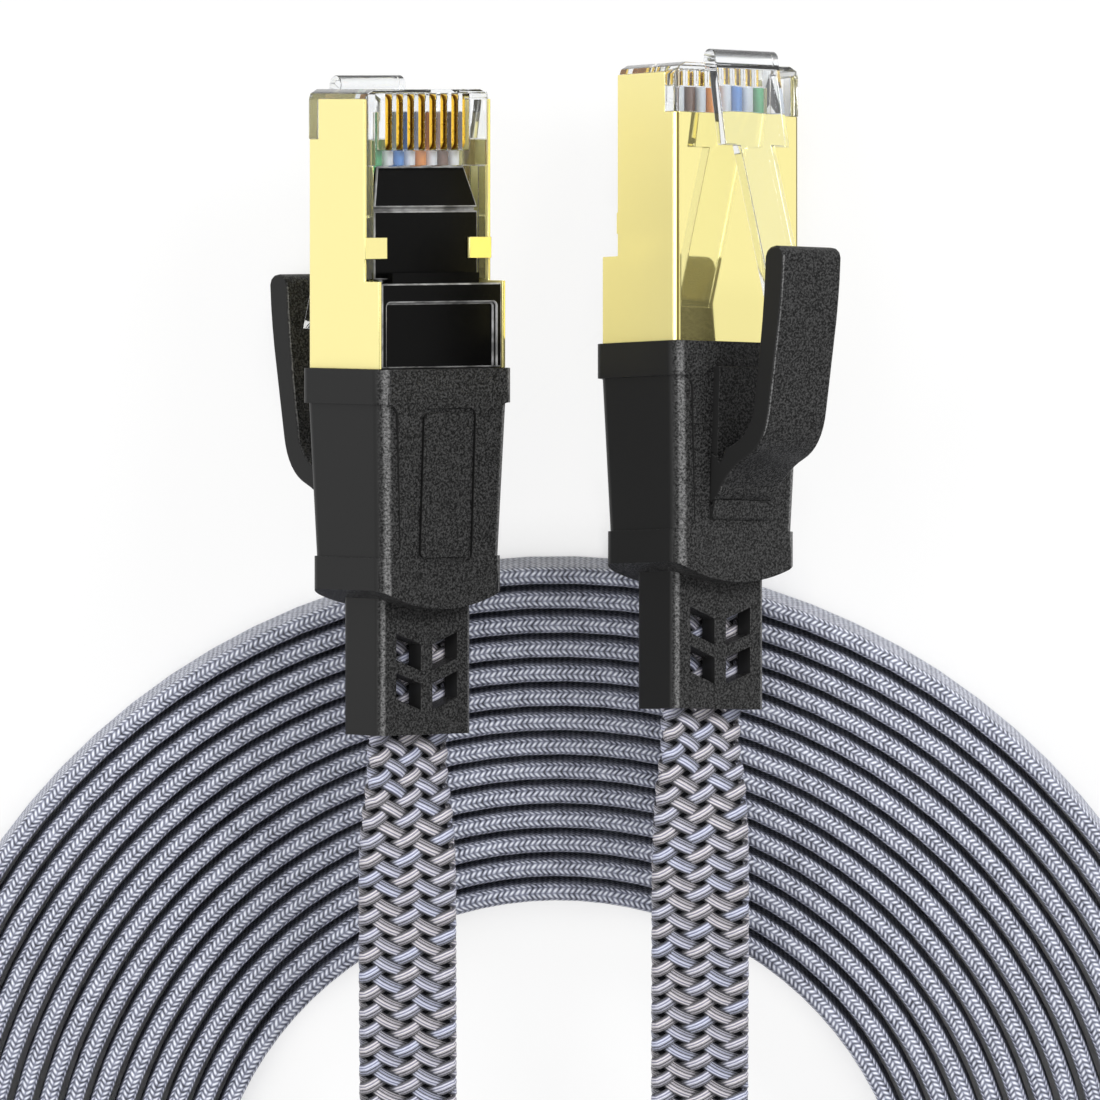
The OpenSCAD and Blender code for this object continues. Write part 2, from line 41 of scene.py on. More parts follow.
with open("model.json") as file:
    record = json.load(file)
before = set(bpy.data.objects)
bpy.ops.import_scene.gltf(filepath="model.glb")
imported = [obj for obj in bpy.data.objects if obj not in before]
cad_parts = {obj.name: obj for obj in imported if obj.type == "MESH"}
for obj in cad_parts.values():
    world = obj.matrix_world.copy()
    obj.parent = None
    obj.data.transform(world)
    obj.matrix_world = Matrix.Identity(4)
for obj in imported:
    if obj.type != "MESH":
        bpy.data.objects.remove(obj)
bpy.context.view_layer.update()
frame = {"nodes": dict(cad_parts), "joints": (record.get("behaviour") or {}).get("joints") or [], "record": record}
MM = 0.001


# ---------------------------------------------------------------- colours and node helper

def linear(code):
    """An sRGB hex colour as linear red, green, blue."""
    parts = [int(code[i:i + 2], 16) / 255 for i in (1, 3, 5)]
    return tuple(c / 12.92 if c <= 0.04045 else ((c + 0.055) / 1.055) ** 2.4 for c in parts)


def paint(code, alpha=1.0):
    """An sRGB hex colour as a linear colour socket's value."""
    return (*linear(code), alpha)


def add(tree, kind, settings=None, inputs=None):
    """Adds one node, with its settings and its inputs: values, nodes, or (node, output) pairs."""
    made = tree.nodes.new(kind)
    for key, value in (settings or {}).items():
        setattr(made, key, value)
    for key, value in (inputs or {}).items():
        if isinstance(value, bpy.types.Node):
            tree.links.new(value.outputs[0], made.inputs[key])
        elif isinstance(value, tuple) and isinstance(value[0], bpy.types.Node):
            tree.links.new(value[0].outputs[value[1]], made.inputs[key])
        else:
            made.inputs[key].default_value = value
    return made


def calc(tree, operation, *values):
    """Adds one maths node over values, nodes or (node, output) pairs."""
    return add(tree, "ShaderNodeMath", {"operation": operation}, dict(enumerate(values)))


def mottle(tree, coords, scale, detail):
    """Adds a noise over the object's own coordinates."""
    return add(tree, "ShaderNodeTexNoise", None,
               {"Vector": (coords, "Object"), "Scale": scale, "Detail": detail})


def graded(tree, value, *stops):
    """Adds a colour ramp over a value; each stop is a place and a hex colour."""
    made = add(tree, "ShaderNodeValToRGB", None, {"Fac": value})
    elements = made.color_ramp.elements
    for i, (place, code) in enumerate(stops):
        stop = elements[i] if i < 2 else elements.new(place)
        stop.position = place
        stop.color = paint(code)
    return made


def stepped(tree, value, low, high, start=0.0, end=1.0):
    """Adds a smooth step from start to end while a value goes from low to high."""
    return add(tree, "ShaderNodeMapRange", {"interpolation_type": "SMOOTHSTEP"},
               {"Value": value, "From Min": low, "From Max": high,
                "To Min": start, "To Max": end})


def spread(tree, value, start, end):
    """Adds a map of a 0 to 1 value onto start to end."""
    return add(tree, "ShaderNodeMapRange", None,
               {"Value": value, "To Min": start, "To Max": end})


def merged(tree, share, under, over):
    """Adds a mix of two colours by a share."""
    return add(tree, "ShaderNodeMix", {"data_type": "RGBA"}, {0: share, 6: under, 7: over})


def stored(tree, geometry, name, value):
    """Adds a node that keeps a value on the points of a geometry under a name."""
    return add(tree, "GeometryNodeStoreNamedAttribute", {"data_type": "FLOAT", "domain": "POINT"},
               {"Geometry": geometry, "Name": name, "Value": value})


def bumped(tree, shader, height, strength, distance):
    """Adds a bump from a height and gives it to the shader."""
    made = add(tree, "ShaderNodeBump", None,
               {"Height": height, "Strength": strength, "Distance": distance})
    tree.links.new(made.outputs[0], shader.inputs["Normal"])


# ---------------------------------------------------------------- sizes and colours to change

class CordSettings(bpy.types.PropertyGroup):
    """The flat cord and its braid."""

    width: FloatProperty(
        name="Width", description="Width of the flat cord", default=7 * MM, unit="LENGTH")
    thickness: FloatProperty(
        name="Thickness", description="Thickness of the flat cord", default=1.25 * MM,
        unit="LENGTH")
    strands: IntProperty(
        name="Strands", description="Yarn bundles in the braid, both ways together", default=10,
        min=6, max=32)
    braid_pitch: FloatProperty(
        name="Braid pitch", description="Distance along the cord between two bundles",
        default=1.47 * MM, unit="LENGTH")
    bundle_width: FloatProperty(
        name="Bundle width", description="Width of one yarn bundle", default=1.0 * MM,
        unit="LENGTH")
    bundle_thickness: FloatProperty(
        name="Bundle thickness", description="Thickness of one yarn bundle",
        default=0.38 * MM, unit="LENGTH")
    bundle_lift: FloatProperty(
        name="Bundle lift", description="How far a bundle rises and dips at its crossings",
        default=0.18 * MM, unit="LENGTH")
    yarn: FloatVectorProperty(
        name="Yarn", description="Colour of the pale yarn", subtype="COLOR", size=3,
        default=linear("#B4B4C4"), min=0, max=1)
    # Also painted as shade on the yarn bundles' flanks and where they dip under one another.
    gap: FloatVectorProperty(
        name="Gap", description="Colour between the bundles", subtype="COLOR", size=3,
        default=linear("#0B0C12"), min=0, max=1)


class PlugSettings(bpy.types.PropertyGroup):
    """The plugs, their boots and levers."""

    edge: FloatProperty(
        name="Edge radius", description="Rounding of moulded edges", default=0.15 * MM,
        unit="LENGTH")
    shield: FloatVectorProperty(
        name="Shield", description="Colour of the gold-plated shield", subtype="COLOR", size=3,
        default=linear("#FBEFA4"), min=0, max=1)
    contact: FloatVectorProperty(
        name="Contact", description="Colour of the gold-plated contacts", subtype="COLOR",
        size=3, default=linear("#FFD24C"), min=0, max=1)
    boot: FloatVectorProperty(
        name="Boot", description="Colour of the boots and levers", subtype="COLOR", size=3,
        default=linear("#282828"), min=0, max=1)
    insert: FloatVectorProperty(
        name="Insert", description="Colour of the black inserts", subtype="COLOR", size=3,
        default=linear("#070707"), min=0, max=1)


class StageSettings(bpy.types.PropertyGroup):
    """The floor and camera."""

    floor: FloatVectorProperty(
        name="Floor", description="Colour of the floor", subtype="COLOR", size=3,
        default=linear("#FFFFFF"), min=0, max=1)
    view_width: FloatProperty(
        name="View width", description="Width that the camera sees at the plugs",
        default=79.7 * MM, unit="LENGTH")
    distance: FloatProperty(
        name="Camera distance", description="Distance of the camera from the plugs",
        default=1.19, unit="LENGTH")
    tilt: FloatProperty(
        name="Camera tilt", description="Lean of the camera, square to the resting plugs",
        default=math.radians(7.6), subtype="ANGLE")


# ---------------------------------------------------------------- the plugs' own frames

WIRE_Z = 0.96 * MM
CORD_START = 27.6 * MM
NECK_END = 46.5 * MM
RECORD = frame["record"]


class PlugFrame:
    """Where a plug lies: u across its contacts, y to its tip, v out of its contact face."""

    def __init__(self, key):
        tip = next(m for m in RECORD["mounts"] if m["name"] == f"plug_{key}_tip")
        hinge = next(j for j in frame["joints"] if j["name"] == f"{key}_lever_press")
        self.origin = Vector(tip["pos_m"])
        self.y = Vector(tip["axis"]).normalized()
        self.u = Vector(hinge["axis"]).normalized()
        self.v = self.u.cross(self.y).normalized()

    def at(self, u, y, v):
        """The point of the row frame at u, y, v of the plug."""
        return self.origin + self.u * u + self.y * y + self.v * v


PLUGS = {key: PlugFrame(key) for key in "ab"}


# ---------------------------------------------------------------- the cord's route

ROLL = 39.4
EDGE_Z = 3.5 * MM
FLAT_Z = 7.675 * MM
COIL_CENTRE = Vector((0, -63.1906 * MM, 0))
COIL_RADIUS = 25.5 * MM
COIL_PITCH = 1.79 * MM
COIL_TURNS = 13 + 282 / 360
COIL_START_ANGLE = -110
COIL_DIP = 2.2 * MM
COIL_DIP_TURN = 0.16
COIL_END_RUN = 7 * MM
COIL_RINGS = 90
LEAD_STEP = 0.8 * MM
BRAID_STEP = 0.6 * MM

# x and y from the coil's centre in millimetres, height and turn as in the construction:
# height 0 on edge on the floor, 1 flat on the coil, 2 at the neck; turn 1 on edge, 0 flat,
# -1 as the plug is rolled
ROUTE_A = [
    (-10.6, 33, 2.06, -0.62), (-10.6, 29.5, 2.02, -0.22), (-10.6, 26, 1.95, 0),
    (-10.6, 21, 1.81, 0), (-10.6, 15, 1.6, 0), (-10.6, 8, 1.36, 0), (-10.6, 1, 1.17, 0),
    (-10.6, -6, 1.075, 0), (-10.6, -14, 1.03, 0), (-10.6, -22, 1.02, 0),
    (-10.6, -30, 1.02, 0), (-10.6, -38, 1.02, 0), (-10.6, -46, 1.02, 0),
    (-10.6, -51, 1.02, 0), (-10.6, -54, 0.96, 0.12), (-10.6, -57, 0.82, 0.28),
    (-10.6, -60, 0.62, 0.46), (-10.6, -63, 0.4, 0.64), (-10.6, -66, 0.19, 0.82),
    (-10.6, -69, 0.05, 0.95), (-10.4, -72.6, 0, 1), (-8.9, -76.6, 0, 1),
    (-6.1, -79.8, 0, 1), (-2.4, -81.8, 0, 1), (1.8, -82.4, 0, 1), (5.8, -81.5, 0, 1),
    (9.2, -79.4, 0, 1), (12.3, -75.6, 0, 1), (17.6, -67.1, 0, 1), (22.9, -58.6, 0, 1),
    (27, -52, 0, 1),
]
ROUTE_B = [
    (10.6, 35, 2.14, -0.65), (10.6, 31, 2.1, -0.25), (10.6, 27, 1.98, 0),
    (10.6, 22, 1.77, 0), (10.6, 17, 1.52, 0), (10.6, 13, 1.32, 0), (10.6, 9, 1.13, 0.06),
    (10.6, 5, 0.95, 0.2), (10.6, 1, 0.71, 0.4), (10.6, -3, 0.44, 0.62),
    (10.6, -7, 0.2, 0.84), (10.6, -10.6, 0.03, 0.98), (10.3, -14, 0, 1),
    (9.3, -17.1, 0, 1), (7.4, -20, 0, 1), (4.9, -22, 0, 1),
]


def laid(points, neck_z):
    """Route points as (place, turn in degrees), in metres."""
    route = []
    for x, y, height, turn in points:
        if height <= 1:
            z = EDGE_Z + (FLAT_Z - EDGE_Z) * height
        else:
            z = FLAT_Z + (neck_z - FLAT_Z) * (height - 1)
        degrees = ROLL * turn if turn < 0 else 90 * turn
        route.append((COIL_CENTRE + Vector((x * MM, y * MM, z)), degrees))
    return route


def coil_point(t):
    """The centre of the coil's cord after t turns from its inner end."""
    radius = COIL_RADIUS + COIL_PITCH * t
    if t < COIL_DIP_TURN:
        radius -= COIL_DIP * (1 - t / COIL_DIP_TURN) ** 2
    angle = math.radians(COIL_START_ANGLE - 360 * t)
    return COIL_CENTRE + Vector((radius * math.cos(angle), radius * math.sin(angle), EDGE_Z))


def coil_way(t):
    """The direction in which the coil runs outwards after t turns."""
    return (coil_point(t + 0.001) - coil_point(t - 0.001)).normalized()


def smooth(knots, step):
    """A smooth run through (place, turn) knots, with a point about every step."""
    run = []
    for i in range(len(knots) - 1):
        before, here, there, after = (knots[max(0, min(len(knots) - 1, i + k))]
                                      for k in (-1, 0, 1, 2))
        count = max(1, round((there[0] - here[0]).length / step))
        for n in range(count):
            t = n / count
            weights = (
                (-t + 2 * t * t - t ** 3) / 2, (2 - 5 * t * t + 3 * t ** 3) / 2,
                (t + 4 * t * t - 3 * t ** 3) / 2, (-t * t + t ** 3) / 2)
            place = sum((w * k[0] for w, k in zip(weights, (before, here, there, after))),
                        Vector((0, 0, 0)))
            turn = sum(w * k[1] for w, k in zip(weights, (before, here, there, after)))
            run.append((place, turn))
    run.append(knots[-1])
    return run


def lead_knots(key):
    """A lead's route from inside its boot to the coil's end."""
    plug = PLUGS[key]
    start = [(plug.at(0, -d, WIRE_Z), -ROLL) for d in
             (CORD_START, CORD_START + 6 * MM, NECK_END - 4 * MM, NECK_END, NECK_END + 3 * MM)]
    neck_z = plug.at(0, -NECK_END, WIRE_Z).z
    if key == "a":
        points, end, way = ROUTE_A, coil_point(COIL_TURNS), coil_way(COIL_TURNS)
        stops = (2 * COIL_END_RUN, COIL_END_RUN)
    else:
        points, end, way = ROUTE_B, coil_point(0), -coil_way(0.002)
        stops = (COIL_END_RUN + 3 * MM, COIL_END_RUN)
    return start + laid(points, neck_z) + [(end + way * d, 90) for d in stops]


def across_at(way, turn):
    """The direction of the cord's width where it runs along way, turned by turn degrees."""
    side = Vector((-way.y, way.x, 0)).normalized()
    up = way.cross(side)
    angle = math.radians(turn)
    return side * math.cos(angle) + up * math.sin(angle)


def framed(run):
    """Each point of a run as (place, across, out)."""
    result = []
    for i, (place, turn) in enumerate(run):
        way = (run[min(i + 1, len(run) - 1)][0] - run[max(i - 1, 0)][0]).normalized()
        across = across_at(way, turn)
        result.append((place, across, way.cross(across)))
    return result


def whole_route():
    """The cord from boot to boot as (place, turn), and where along it the coil starts and ends."""
    lead_a = smooth(lead_knots("a"), LEAD_STEP)
    lead_b = smooth(lead_knots("b"), LEAD_STEP)
    steps = round(COIL_TURNS * COIL_RINGS)
    coil = [(coil_point(COIL_TURNS * (1 - i / steps)), 90) for i in range(steps + 1)]
    back = [(place, 180 - turn) for place, turn in reversed(lead_b)]
    whole = lead_a + coil + back
    return whole, len(lead_a), len(lead_a) + len(coil)


# ---------------------------------------------------------------- mesh helpers

WELD = 0.03 * MM
SHARP = math.radians(30)
PLATE_EDGE = 0.05 * MM
CLEAR_EDGE = 0.07 * MM
INSERT_EDGE = 0.12 * MM
WIRE_EDGE = 0.03 * MM


def finished(name, mesh, materials, body, nodes=()):
    """Links a mesh as a finished piece that rides on a body and stands for CAD nodes."""
    piece = bpy.data.objects.new(name, mesh)
    bpy.context.scene.collection.objects.link(piece)
    for material in materials:
        mesh.materials.append(material)
    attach(piece, body)
    if nodes:
        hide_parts(*nodes)
    return piece


def plain_copy(source, name):
    """The mesh of an object with its modifiers applied."""
    depsgraph = bpy.context.evaluated_depsgraph_get()
    mesh = bpy.data.meshes.new_from_object(source.evaluated_get(depsgraph))
    mesh.name = name
    return mesh


def rounded_copy(node, name, edge, materials, segments=3, roomy=False, clamp=True):
    """A CAD node's shape with its edges rounded; a second material goes on the roundings.

    With roomy set, only the edges with space around them are rounded and the rest stay crisp.
    """
    shape = bmesh.new()
    shape.from_mesh(frame["nodes"][node].data)
    bmesh.ops.remove_doubles(shape, verts=shape.verts, dist=WELD)
    bmesh.ops.dissolve_limit(
        shape, angle_limit=math.radians(1), verts=shape.verts, edges=shape.edges)
    weight = shape.edges.layers.float.new("bevel_weight_edge")
    for line in shape.edges:
        if len(line.link_faces) == 2 and line.calc_face_angle(0) > SHARP:
            room = min(face.calc_area() / line.calc_length() for face in line.link_faces)
            near = min(other.calc_length() for end in line.verts for other in end.link_edges)
            fits = not roomy or (room > 2 * edge and near > edge)
            line[weight] = float(fits)
            line.smooth = fits
    mesh = bpy.data.meshes.new(name)
    shape.to_mesh(mesh)
    shape.free()
    for polygon in mesh.polygons:
        polygon.use_smooth = True
    for material in materials:
        mesh.materials.append(material)
    holder = bpy.data.objects.new(name + "_holder", mesh)
    bpy.context.scene.collection.objects.link(holder)
    bevel = holder.modifiers.new("Round", "BEVEL")
    bevel.width = edge
    bevel.segments = segments
    bevel.limit_method = "WEIGHT"
    bevel.use_clamp_overlap = clamp
    bevel.material = len(materials) - 1
    weighted = holder.modifiers.new("Even", "WEIGHTED_NORMAL")
    weighted.keep_sharp = True
    result = plain_copy(holder, name)
    bpy.data.objects.remove(holder)
    return result


# ---------------------------------------------------------------- materials

def new_material(name, colour, roughness, metallic=0.0, ior=1.5):
    """A material with one Principled shader; returns it, its tree and the shader."""
    material = bpy.data.materials.new(name)
    material.use_nodes = True
    tree = material.node_tree
    tree.nodes.clear()
    shader = add(tree, "ShaderNodeBsdfPrincipled", None, {
        "Base Color": (*colour, 1), "Roughness": roughness, "Metallic": metallic, "IOR": ior})
    add(tree, "ShaderNodeOutputMaterial", None, {"Surface": shader})
    return material, tree, shader


PLUG_ACROSS = (0.7727, 0, -0.6347)


def side_mask(tree, coords, low=0.8, high=0.97):
    """1 on faces that look along the plugs' width, 0 on the wide faces and round the ends."""
    dot = add(tree, "ShaderNodeVectorMath", {"operation": "DOT_PRODUCT"},
              {0: (coords, "Normal"), 1: PLUG_ACROSS})
    size = calc(tree, "ABSOLUTE", (dot, "Value"))
    return stepped(tree, size, low, high)


def corner_mask(tree, coords):
    """1 on the rounded corners between the plugs' sides and wide faces, 0 elsewhere."""
    off_wide = side_mask(tree, coords, 0.2, 0.42)
    off_side = side_mask(tree, coords, 0.6, 0.8)
    round_it = calc(tree, "SUBTRACT", off_wide, off_side)
    parts = add(tree, "ShaderNodeSeparateXYZ", None, {"Vector": (coords, "Normal")})
    ends = calc(tree, "ABSOLUTE", (parts, "Y"))
    lengthwise = stepped(tree, ends, 0.2, 0.4, 1.0, 0.0)
    return calc(tree, "MULTIPLY", round_it, lengthwise)


def braid_yarn():
    """Polyester yarn, plaited: pale filament lines up to white on the crowns, with painted shade in blue-black on
    the flanks and where a bundle dips.
    """
    settings = bpy.context.scene.patch_cord
    material, tree, shader = new_material("Plaited Polyester Yarn", settings.yarn, 0.36)
    plies = 5
    ply = add(tree, "ShaderNodeAttribute", {"attribute_name": "ply"})
    tint = add(tree, "ShaderNodeAttribute", {"attribute_name": "tint"})
    rise = add(tree, "ShaderNodeAttribute", {"attribute_name": "rise"})
    lines = calc(tree, "MULTIPLY", (ply, "Fac"), 2 * plies * math.tau)
    wave = calc(tree, "SINE", lines)
    coords = add(tree, "ShaderNodeTexCoord")
    noise = mottle(tree, coords, 2600, 3)
    mixed = calc(tree, "MULTIPLY_ADD", (noise, "Fac"), 1.2, wave)
    ramp = graded(tree, mixed, (0.0, "#9C9DB2"), (1.0, "#FAFAFE"))
    drift = graded(tree, (tint, "Fac"), (0, "#DACFCC"), (1, "#C3CBE8"))
    blend = add(tree, "ShaderNodeMix", {"data_type": "RGBA", "blend_type": "MULTIPLY"},
                {0: 0.6, 6: ramp, 7: drift})
    # Painted shade: away from its crown and underside, each bundle's flank fades to the blue-black colour.
    turn = calc(tree, "MULTIPLY", (ply, "Fac"), math.tau)
    flank = calc(tree, "SINE", turn)
    steep = calc(tree, "ABSOLUTE", flank)
    crown = stepped(tree, steep, 0.74, 1.0, 1.0, 0.08)
    # Painted shade where a bundle dips under a crossing one; both shades meet in the mix below.
    raised = stepped(tree, (rise, "Fac"), -1.0, 0.1, 0.12, 1.0)
    shown = calc(tree, "MULTIPLY", crown, raised)
    colour = merged(tree, shown, (*settings.gap, 1), (blend, 2))
    bumped(tree, shader, mixed, 0.7, 0.03 * MM)
    tree.links.new(colour.outputs[2], shader.inputs["Base Color"])
    shader.inputs["Sheen Weight"].default_value = 0.1
    shader.inputs["Sheen Roughness"].default_value = 0.4
    return material


def filler_yarn():
    """Blue-black filler under the plaited bundles: a matte, fibrous ground that reads as shade."""
    settings = bpy.context.scene.patch_cord
    material, tree, shader = new_material("Blue-Black Filler Yarn", settings.gap, 0.9)
    shader.inputs["Specular IOR Level"].default_value = 0.2
    coords = add(tree, "ShaderNodeTexCoord")
    noise = mottle(tree, coords, 3000, 2)
    bumped(tree, shader, (noise, "Fac"), 0.6, 0.05 * MM)
    return material


def braid_sleeve():
    """The same braid seen small: rows of slanting stitches on the wound cord, coloured by their height: painted
    shade in the gaps, a painted highlight on the stitch tops.
    """
    material, tree, shader = new_material("Fine Woven Sleeve", linear("#9A9EAF"), 0.5)
    stitch = 0.4
    column = 0.48
    uv = add(tree, "ShaderNodeUVMap", {"uv_map": "Sleeve"})
    parts = add(tree, "ShaderNodeSeparateXYZ", None, {"Vector": uv})
    coords = add(tree, "ShaderNodeTexCoord")
    wobble = mottle(tree, coords, 700, 1)
    columns = calc(tree, "DIVIDE", (parts, 0), column)
    slant = calc(tree, "PINGPONG", columns, 1)
    along = calc(tree, "DIVIDE", (parts, 1), stitch)
    moved = calc(tree, "MULTIPLY_ADD", (wobble, "Fac"), 0.7, along)
    shifted = calc(tree, "MULTIPLY_ADD", slant, 0.8, moved)
    turns = calc(tree, "MULTIPLY", shifted, math.tau)
    rows = calc(tree, "SINE", turns)
    in_column = calc(tree, "PINGPONG", columns, 0.5)
    crown = calc(tree, "POWER", in_column, 0.5)
    lift = calc(tree, "MULTIPLY_ADD", rows, 0.5, 0.5)
    height = calc(tree, "MULTIPLY", lift, crown)
    noise = mottle(tree, coords, 1500, 3)
    ragged = calc(tree, "MULTIPLY_ADD", (noise, "Fac"), 0.45, height)
    # Painted shade and highlight: the stitch height runs from near black in the gaps to near white on the tops.
    ramp = graded(tree, ragged, (0.16, "#272935"), (0.5, "#A6AABE"), (0.82, "#F2F4FC"))
    bumped(tree, shader, ragged, 0.8, 0.09 * MM)
    tree.links.new(ramp.outputs[0], shader.inputs["Base Color"])
    return material


def moulded_black():
    """Moulded PVC: spark-eroded grain, smooth satin on the sides, a painted highlight in pale grey on the rounded
    corners.
    """
    settings = bpy.context.scene.patch_plug
    material, tree, shader = new_material("Grained Black PVC", settings.boot, 0.34)
    grain = 0.16
    coords = add(tree, "ShaderNodeTexCoord")
    side = side_mask(tree, coords)
    corner = corner_mask(tree, coords)
    grained = calc(tree, "SUBTRACT", 1, side)
    noise = add(tree, "ShaderNodeTexNoise", None,
                {"Vector": (coords, "Object"), "Scale": 1 / (grain * MM), "Detail": 3,
                 "Roughness": 0.65})
    ramp = graded(tree, (noise, "Fac"), (0.42, "#0E0E0E"), (0.64, "#4A4A4A"))
    # Painted highlight on the rounded corners: pale grey, speckled by the grain.
    painted_corner_highlight = graded(tree, (noise, "Fac"), (0.35, "#2A2A2A"), (0.65, "#868686"))
    colour = merged(tree, side, ramp, (*settings.boot, 1))
    edged = merged(tree, corner, (colour, 2), painted_corner_highlight)
    rough = calc(tree, "MULTIPLY_ADD", grained, 0.1, 0.34)
    bumped(tree, shader, (noise, "Fac"), grained, 0.07 * MM)
    tree.links.new(edged.outputs[2], shader.inputs["Base Color"])
    tree.links.new(rough.outputs[0], shader.inputs["Roughness"])
    shader.inputs["Specular IOR Level"].default_value = 0.1
    return material


def gold_plate():
    """Gold flash over stamped steel: mirror wide faces, satin sides and rougher folds between, with a painted dark
    reflection on the folds.
    """
    settings = bpy.context.scene.patch_plug
    material, tree, shader = new_material(
        "Pale Gold Plating", settings.shield, 0.05, metallic=1.0)
    coords = add(tree, "ShaderNodeTexCoord")
    side = side_mask(tree, coords)
    fold = corner_mask(tree, coords)
    stretch = add(tree, "ShaderNodeMapping", None,
                  {"Vector": (coords, "Object"), "Scale": (1, 0.04, 1)})
    noise = add(tree, "ShaderNodeTexNoise", None,
                {"Vector": stretch, "Scale": 3000, "Detail": 2})
    marks = spread(tree, (noise, "Fac"), 0.02, 0.07)
    satin = calc(tree, "MULTIPLY_ADD", side, 0.38, marks)
    rough = calc(tree, "MULTIPLY_ADD", fold, 0.4, satin)
    # Painted dark reflection: the folds' colour drops to dark olive.
    colour = merged(tree, fold, (*settings.shield, 1), paint("#6A5E30"))
    metal = spread(tree, side, 0.86, 0.3)
    tree.links.new(colour.outputs[2], shader.inputs["Base Color"])
    tree.links.new(rough.outputs[0], shader.inputs["Roughness"])
    tree.links.new(metal.outputs[0], shader.inputs["Metallic"])
    return material


def gold_contact():
    """Gold over phosphor bronze: bright on the contact edge, with painted shade in brown where the flanks show."""
    settings = bpy.context.scene.patch_plug
    material, tree, shader = new_material(
        "Contact Gold", settings.contact, 0.25, metallic=0.8)
    coords = add(tree, "ShaderNodeTexCoord")
    side = side_mask(tree, coords)
    noise = mottle(tree, coords, 2000, 2)
    rough = spread(tree, (noise, "Fac"), 0.24, 0.32)
    # Painted shade: the flanks are coloured brown.
    colour = merged(tree, side, (*settings.contact, 1), paint("#B4701E"))
    tree.links.new(colour.outputs[2], shader.inputs["Base Color"])
    tree.links.new(rough.outputs[0], shader.inputs["Roughness"])
    return material


def clear_polycarbonate():
    """Injection-moulded polycarbonate: water clear, with slight flow ripples; lamps shine in."""
    material, tree, shader = new_material(
        "Clear Polycarbonate", linear("#FAFCFE"), 0.03, ior=1.585)
    shader.inputs["Transmission Weight"].default_value = 1.0
    coords = add(tree, "ShaderNodeTexCoord")
    noise = mottle(tree, coords, 500, 1)
    bumped(tree, shader, (noise, "Fac"), 0.15, 0.02 * MM)
    path = add(tree, "ShaderNodeLightPath")
    lighting = calc(tree, "MAXIMUM", (path, "Is Shadow Ray"), (path, "Is Diffuse Ray"))
    passed = add(tree, "ShaderNodeBsdfTransparent", None, {"Color": paint("#F4F6F8")})
    both = add(tree, "ShaderNodeMixShader", None, {0: lighting, 1: shader, 2: passed})
    output = next(n for n in tree.nodes if n.type == "OUTPUT_MATERIAL")
    tree.links.new(both.outputs[0], output.inputs["Surface"])
    return material


def satin_black():
    """Glass-filled nylon: near black with a satin skin."""
    settings = bpy.context.scene.patch_plug
    material, tree, shader = new_material("Satin Black Nylon", settings.insert, 0.2)
    coords = add(tree, "ShaderNodeTexCoord")
    noise = mottle(tree, coords, 1500, 2)
    rough = spread(tree, (noise, "Fac"), 0.16, 0.26)
    tree.links.new(rough.outputs[0], shader.inputs["Roughness"])
    shader.inputs["Specular IOR Level"].default_value = 0.08
    return material


def nylon_edge_highlight():
    """The insert's rounded edges: a painted highlight, a thin pale line where light would catch."""
    # Painted highlight: the rounded edges are coloured pale grey, mottled.
    material, tree, shader = new_material("Nylon Edge Painted Highlight", linear("#8A8A8A"), 0.3)
    coords = add(tree, "ShaderNodeTexCoord")
    noise = mottle(tree, coords, 900, 2)
    ramp = graded(tree, (noise, "Fac"), (0.35, "#5C5C5C"), (0.65, "#A4A4A4"))
    tree.links.new(ramp.outputs[0], shader.inputs["Base Color"])
    return material


def insulation(name, code):
    """Extruded polyethylene over a wire: plain colour with a soft gloss."""
    material, tree, shader = new_material(name, linear(code), 0.4)
    coords = add(tree, "ShaderNodeTexCoord")
    noise = mottle(tree, coords, 800, 2)
    rough = spread(tree, (noise, "Fac"), 0.32, 0.5)
    tree.links.new(rough.outputs[0], shader.inputs["Roughness"])
    return material


def foil_metal(name, code, roughness):
    """Bare drawn or rolled metal inside the plug, slightly crumpled."""
    material, tree, shader = new_material(name, linear(code), roughness, metallic=1.0)
    coords = add(tree, "ShaderNodeTexCoord")
    noise = mottle(tree, coords, 1200, 3)
    bumped(tree, shader, (noise, "Fac"), 0.3, 0.03 * MM)
    return material


# ---------------------------------------------------------------- camera and cord

class MakeCamera(bpy.types.Operator):
    """Sets the camera above the cable, square to the plugs."""

    bl_idname = "patch_cable.make_camera"
    bl_label = "Camera"

    def execute(self, context):
        stage = context.scene.patch_stage
        aim = Vector((-0.29 * MM, -11.43 * MM, 9 * MM))
        camera = bpy.data.cameras.new("Camera")
        camera.sensor_width = 36
        camera.lens = 36 * stage.distance / stage.view_width
        camera.clip_end = 10
        holder = bpy.data.objects.new("Camera", camera)
        back = Vector((0, math.sin(stage.tilt), math.cos(stage.tilt)))
        holder.location = aim + back * stage.distance
        holder.rotation_euler = (-stage.tilt, 0, 0)
        context.scene.collection.objects.link(holder)
        context.scene.camera = holder
        context.scene.view_settings.view_transform = "Standard"
        return {"FINISHED"}


def section_points(width, thickness, per_arc=5, per_flat=4):
    """A stadium outline as (across, out) points, in order round it."""
    flat = width - thickness
    radius = thickness / 2
    points = []
    for side in (1, -1):
        for i in range(per_flat):
            a = side * (-flat / 2 + flat * i / per_flat)
            points.append((a, side * radius))
        for i in range(per_arc):
            angle = math.pi * i / per_arc
            a = side * (flat / 2 + radius * math.sin(angle))
            points.append((a, side * radius * math.cos(angle)))
    return points


